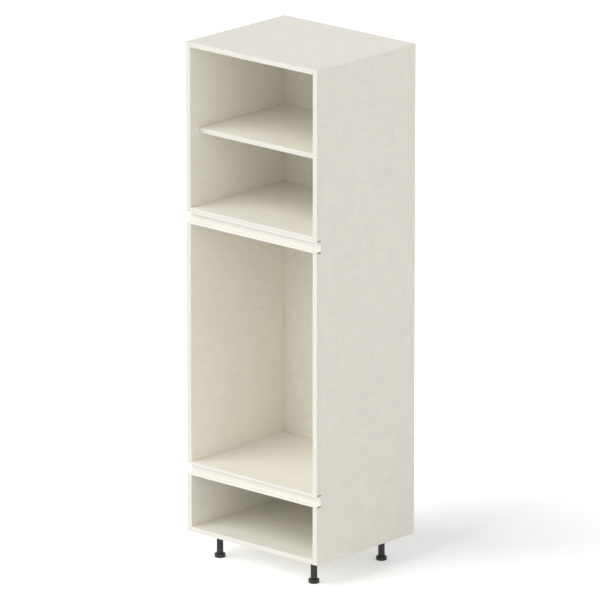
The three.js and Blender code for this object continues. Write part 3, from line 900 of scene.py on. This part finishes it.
class OVENHOUSING_OT_brackets(bpy.types.Operator):
    """Makes the bracket and the screw at each end of both rails"""
    bl_idname = "oven_housing.brackets"
    bl_label = "Rail brackets"

    def execute(self, context):
        sizes = context.scene.oven_housing_fittings
        steel = zinc_plated_steel(sizes.steel_colour)
        inner_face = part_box("right_side_panel")[0].x
        hole = centre_of("lower_right_bracket_screw")
        head_end, tip = [end.x - inner_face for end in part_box("lower_right_bracket_screw")]
        screw = draw_screw("lower_right_bracket_screw_turning", sizes,
                           head_end + sizes.screw_head, tip)
        lay_along_x(screw, (inner_face, hole.y, hole.z))
        bracket = draw_bracket("lower_right_rail_bracket_plate",
                               *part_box("lower_right_rail_bracket"), sizes, hole)
        for source, part, form in ((bracket, "rail_bracket", "plate"),
                                   (screw, "bracket_screw", "turning")):
            first = f"lower_right_{part}"
            finish_piece(source, first, "zinc_plated_steel", steel)
            for node in nodes_with(part):
                if node == first:
                    continue
                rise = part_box(node)[0].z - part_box(node.replace("upper", "lower"))[0].z
                turn = half_turn("Y", (0, 0, hole.z)) if "_left_" in node else Matrix.Identity(4)
                piece = duplicate(source, f"{node}_{form}", Matrix.Translation((0, 0, rise)) @ turn)
                finish_piece(piece, node, "zinc_plated_steel", steel)
        return {"FINISHED"}


def spot_inside(node, height):
    """The spot of a fitting on a side panel's inner face. It is drawn for the right-hand one."""
    across = centre_of(node).y
    spot = Matrix.Translation((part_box("right_side_panel")[0].x, across, height))
    return half_turn("Z", (0, across, 0)) @ spot if "_left_" in node else spot


def draw_cam(name, sizes, thread_length):
    """The right-hand end's cam disc and bolt. Its origin is where the bolt meets the side panel."""
    radius, face = sizes.cam_diameter / 2, -sizes.cam_drop
    disc = new_turning(name, [
        *rings_at(radius, face, (-1.4, 0.3), (-1.2, 0), (-0.4, 0), (0, 0.4)),
        *rings_at(radius, face + sizes.cam_depth, (0, -0.5), (-0.5, 0)),
    ])
    cut_driver_recess(disc, face + 0.0003, long=0.0076, wide=0.0017, depth=0.0026)
    disc.location.x = -sizes.cam_set_in
    apply_place(disc)
    shank, thread_radius = sizes.bolt_shank / 2, sizes.bolt_thread / 2
    thread = (thread_radius, 0.0004, thread_length - 0.0006)
    bolt = new_turning("cam_bolt", [
        *rings_at(shank, -sizes.cam_set_in, (-0.4, 0), (0, 4)),
        *rings_at(shank, 0, (0, -0.8), (-0.4, -0.2)), *rings_at(thread_radius, 0, (0, -0.2)),
        *shank_rings(*thread, 0.00035), *rings_at(thread_radius, thread_length, (-0.6, 0)),
    ], 24)
    cut_thread(bolt, *thread, sizes.bolt_pitch, depth=0.0006)
    lay_along_x(bolt)
    combine(disc, bolt, "UNION")
    return smooth(disc)


class OVENHOUSING_OT_cam_fittings(bpy.types.Operator):
    """Makes the cam fitting at each end of the four fixed boards"""
    bl_idname = "oven_housing.cam_fittings"
    bl_label = "Cam fittings"

    def execute(self, context):
        sizes = context.scene.oven_housing_fittings
        thread_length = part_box("bottom_right_cam_fitting")[1].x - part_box("right_side_panel")[0].x
        finish_copies(
            draw_cam("cam_source", sizes, thread_length), "cam_fitting", "casting",
            lambda node: spot_inside(node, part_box(node)[0].z + sizes.cam_drop),
            "die_cast_zinc", die_cast_zinc(sizes.zinc_colour),
        )
        return {"FINISHED"}


def draw_pin(name, sizes, arm_length, depth):
    """A shelf pin for the right-hand panel. Its origin lies on the panel's inner face."""
    shank, arm = sizes.pin_shank / 2, sizes.pin_arm / 2
    waist = shank - 0.0002
    segments = 40
    piece = new_turning(name, [
        *rings_at(arm, -arm_length, (-0.6, 0), (0, 0.6)),
        *rings_at(arm, 0, (0, -0.6), (-0.4, -0.2)), *rings_at(shank, 0, (0, -0.2)),
        (shank, depth * 0.3), (waist, depth * 0.34), (waist, depth * 0.6), (shank, depth * 0.64),
        *rings_at(shank, depth, (0, -0.8), (-0.8, 0)),
    ], segments)
    # half a segment's turn keeps the shank's corners just under the cut
    piece.rotation_euler.x = math.pi / segments
    piece.rotation_mode = "ZYX"
    lay_along_x(piece)
    with editing(piece, "SELECT"):
        bisect((0, 0, sizes.pin_flat), (0, 0, 1), use_fill=True, clear_outer=True)
    face_outwards(piece)
    return smooth(piece)


class OVENHOUSING_OT_shelf_pins(bpy.types.Operator):
    """Makes the four pins under the shelf"""
    bl_idname = "oven_housing.shelf_pins"
    bl_label = "Shelf pins"

    def execute(self, context):
        sizes = context.scene.oven_housing_fittings
        inner_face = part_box("right_side_panel")[0].x
        low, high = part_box("front_right_shelf_pin")
        finish_copies(
            draw_pin("pin_source", sizes, inner_face - low.x, high.x - inner_face),
            "shelf_pin", "turning",
            lambda node: spot_inside(node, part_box(node)[1].z - sizes.pin_flat),
            "zinc_plated_steel", zinc_plated_steel(sizes.steel_colour),
        )
        return {"FINISHED"}


def draw_socket(name, low, high, sizes, flange):
    """The socket: flange, cup, four ribs and two pegs."""
    flange_top = high - sizes.peg_length
    underside = flange_top - sizes.flange_thickness
    cup, outer = sizes.cup_inside, sizes.cup_inside + sizes.cup_wall
    piece = new_turning(name, [
        *rings_at(flange, flange_top, (-0.4, 0), (0, -0.4)),
        *rings_at(flange, underside, (0, 0.6), (-0.6, 0)),
        *rings_at(outer, underside, (1, 0), (0.3, -0.3), (0, -1)),
        *rings_at(outer, low, (0, 0.5), (-0.5, 0)),
        *rings_at(cup, low, (0.6, 0), (0, 0.6)), (cup, underside),
    ], 64)
    overlap = 0.001
    root, tip, foot = outer - overlap, outer + sizes.rib_reach, underside - sizes.rib_height
    for turn in range(4):
        rib = new_block("socket_rib", (root, -sizes.rib_thickness / 2, foot),
                        (tip, sizes.rib_thickness / 2, underside + overlap))
        with editing(rib):
            for end, rise in ((tip, sizes.rib_height - sizes.rib_tip), (root, 0.0001)):
                pick(rib, "edges", lambda edge: lies_at(edge, 0, end) and lies_at(edge, 2, foot))
                bpy.ops.transform.translate(value=(0, 0, rise))
        rib.rotation_euler.z = turn * QUARTER_TURN
        apply_place(rib)
        combine(piece, rib, "UNION")
    radius = sizes.peg_diameter / 2
    rings = rings_at(radius, underside, (-0.3, 1))
    for barb in range(4):
        rings += rings_at(radius, flange_top + barb * sizes.barb_spacing,
                          (-0.5, 1), (0, 1.2), (-0.2, 2.4))
    rings += rings_at(radius, high, (-1.2, 0))
    for side in (-1, 1):
        peg = new_turning("socket_peg", rings, 24)
        peg.location.y = side * sizes.peg_spacing / 2
        apply_place(peg)
        combine(piece, peg, "UNION")
    return smooth(piece)


def draw_tube(name, low, high, sizes, radius):
    """The leg tube: its lower end is bored for the spindle, and the rest is hollow."""
    bore, nut, nut_top = sizes.tube_bore / 2, sizes.nut_radius, low + sizes.tube_nut
    return smooth(new_turning(name, [
        *rings_at(nut, low, (0, 0.5), (0.5, 0)), *rings_at(radius, low, (-0.5, 0), (0, 0.5)),
        *rings_at(radius, high, (0, -0.5), (-0.5, 0)), (bore, high),
        *rings_at(bore, nut_top, (0, 0.6), (-0.6, 0)), (nut, nut_top),
        *rings_at(nut, low, (0, 0.5)),
    ], closed=True))


def draw_foot(name, low, high, sizes, radius):
    """The foot: a low cap, hollow underneath, with a flat top and the threaded spindle."""
    pad_low, pad_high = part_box("front_left_leg_pad")
    hollow = (pad_high.x - pad_low.x) / 2 + sizes.pad_clearance
    hollow_top = sizes.pad_thickness + sizes.pad_clearance
    stud = sizes.pad_stud / 2 + sizes.pad_clearance
    side_top = low + sizes.side_height
    top = side_top + sizes.top_rounding
    rings = [
        (stud, sizes.stud_hole), (stud, hollow_top), (hollow, hollow_top), (hollow, low),
        *rings_at(radius, low, (-0.9, 0), (-0.25, 0.25), (0, 0.9)),
    ]
    steps = 8
    for step in range(steps + 1):
        turn = step / steps * QUARTER_TURN
        rings.append((radius - sizes.top_rounding * (1 - math.cos(turn)),
                      side_top + sizes.top_rounding * math.sin(turn)))
    thread = (sizes.spindle_radius, top - sizes.seat_depth, high - 0.001)
    rings += [
        *rings_at(sizes.seat_radius, top, (0.6, 0), (0.1, -0.2), (0, -0.7)),
        (sizes.seat_radius, top - sizes.seat_depth),
        *shank_rings(*thread, 0.0005), *rings_at(sizes.spindle_radius, high, (-1, 0)),
    ]
    piece = new_turning(name, rings, 40)
    cut_thread(piece, *thread, sizes.thread_pitch, sizes.thread_depth)
    return smooth(piece)


def draw_pad(name, low, high, sizes, radius):
    """The pad: rings moulded in its underside, and the stud that holds it."""
    dimple, grooves = 0.0047, (0.0075, 0.0105, 0.0135)
    stud, top = sizes.pad_stud / 2, low + sizes.pad_thickness
    rings = rings_at(dimple, low, (-0.2, 0.6), (0, 0))
    for groove in grooves:
        rings += rings_at(groove, low, (-0.6, 0), (-0.4, 0.5), (0.4, 0.5), (0.6, 0))
    return smooth(new_turning(name, [
        *rings, *rings_at(radius, low, (-0.8, 0), (-0.2, 0.3), (0, 0.9)),
        *rings_at(radius, top, (0, -0.2), (-0.2, 0)), (stud, top),
        *rings_at(stud, high, (0, -0.6), (-0.6, 0)),
    ]))


class OVENHOUSING_OT_legs(bpy.types.Operator):
    """Makes the socket, tube, foot and pad of the four legs"""
    bl_idname = "oven_housing.legs"
    bl_label = "Legs"

    def execute(self, context):
        sizes = context.scene.oven_housing_legs
        plastic = ("black_plastic", moulded_black_plastic(sizes.plastic_colour))
        rubber = ("rubber_pad", moulded_rubber(sizes.rubber_colour))

        def spot(node):
            return Matrix.Translation((*centre_of(node).xy, 0))

        for part, draw, finish in (("socket", draw_socket, plastic), ("tube", draw_tube, plastic),
                                   ("foot", draw_foot, plastic), ("pad", draw_pad, rubber)):
            low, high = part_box(f"front_left_leg_{part}")
            source = draw(f"{part}_source", low.z, high.z, sizes, (high.x - low.x) / 2)
            finish_copies(source, f"_leg_{part}", "moulding", spot, *finish)
        return {"FINISHED"}


# Studio

def lay_floor(node, side, depth, material):
    """The quarter of the floor under a pad. It follows that pad when its leg is drawn out, and its
    depth closes the step between the quarters."""
    reach = [math.copysign(side, place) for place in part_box(node)[0].xy]
    quarter = new_block(
        f"floor_under_{node}", [min(0, place) for place in reach] + [-depth],
        [max(0, place) for place in reach] + [0],
    )
    quarter.data.materials.append(material)
    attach(quarter, frame["nodes"][node]["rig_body"])


def soft_light(name, strength, turn, height, settings):
    """A broad soft light, even over the whole unit, from a turn to the right of the front and a
    height above level."""
    light = bpy.data.lights.new(name, "SUN")
    light.angle = settings.light_spread
    light.energy = strength
    light.color = settings.light_colour
    lamp = bpy.data.objects.new(name, light)
    lamp.rotation_euler = (QUARTER_TURN - height, 0, turn)
    bpy.context.scene.collection.objects.link(lamp)


class OVENHOUSING_OT_studio(bpy.types.Operator):
    """Sets the camera, the lights, the sky and the floor"""
    bl_idname = "oven_housing.studio"
    bl_label = "Studio"

    def execute(self, context):
        scene = context.scene
        settings = scene.oven_housing_studio
        scene.view_settings.view_transform = "Standard"
        lens = bpy.data.cameras.new("studio_camera")
        lens.lens = settings.lens
        lens.sensor_width = settings.sensor
        lens.clip_end = settings.sight
        camera = bpy.data.objects.new("studio_camera", lens)
        camera.location = settings.camera_place
        camera.rotation_euler = (QUARTER_TURN - settings.pitch, 0, settings.azimuth)
        scene.collection.objects.link(camera)
        scene.camera = camera

        for side in ("left", "right"):
            strength, turn, height = [getattr(settings, f"{side}_{value}")
                                      for value in ("light", "turn", "height")]
            soft_light(f"{side}_light", strength, turn, height, settings)
        scene.world = bpy.data.worlds.new("studio_sky")
        tree = cleared_tree(scene.world)
        sky = add_node(tree, "Background", {"Color": WHITE, "Strength": settings.sky})
        backdrop = add_node(tree, "Background", {"Color": WHITE, "Strength": 1.0})
        mix = add_node(tree, "MixShader", {0: seen_rays(tree), 1: sky, 2: backdrop})
        add_node(tree, "OutputWorld", {"Surface": mix})

        material = pale_floor(settings.floor_colour, settings.floor_lift)
        for node in nodes_with("_leg_pad"):
            lay_floor(node, settings.floor_size / 2, settings.floor_depth, material)
        return {"FINISHED"}


OPERATORS = (
    OVENHOUSING_OT_studio,
    OVENHOUSING_OT_boards,
    OVENHOUSING_OT_back,
    OVENHOUSING_OT_edging,
    OVENHOUSING_OT_handle_rails,
    OVENHOUSING_OT_brackets,
    OVENHOUSING_OT_cam_fittings,
    OVENHOUSING_OT_shelf_pins,
    OVENHOUSING_OT_legs,
)
SETTINGS = {
    "oven_housing_boards": BoardSettings,
    "oven_housing_edging": EdgingSettings,
    "oven_housing_rails": RailSettings,
    "oven_housing_fittings": FittingSettings,
    "oven_housing_legs": LegSettings,
    "oven_housing_studio": StudioSettings,
}


class OVENHOUSING_PT_panel(bpy.types.Panel):
    """Lists the unit's pieces and their settings"""
    bl_idname = "OVENHOUSING_PT_panel"
    bl_label = "Oven Housing"
    bl_space_type = "VIEW_3D"
    bl_region_type = "UI"
    bl_category = "Oven Housing"

    def draw(self, context):
        for operator in OPERATORS:
            self.layout.operator(operator.bl_idname)
        for name, group in SETTINGS.items():
            box = self.layout.box()
            for setting in group.__annotations__:
                box.prop(getattr(context.scene, name), setting)


def register():
    for group in SETTINGS.values():
        bpy.utils.register_class(group)
    for operator in OPERATORS:
        bpy.utils.register_class(operator)
    bpy.utils.register_class(OVENHOUSING_PT_panel)
    for name, group in SETTINGS.items():
        setattr(bpy.types.Scene, name, PointerProperty(type=group))


def unregister():
    for name in SETTINGS:
        delattr(bpy.types.Scene, name)
    bpy.utils.unregister_class(OVENHOUSING_PT_panel)
    for operator in reversed(OPERATORS):
        bpy.utils.unregister_class(operator)
    for group in reversed(list(SETTINGS.values())):
        bpy.utils.unregister_class(group)


def main():
    register()
    for operator in OPERATORS:
        group, name = operator.bl_idname.split(".")
        getattr(getattr(bpy.ops, group), name)()


if __name__ == "__main__":
    main()
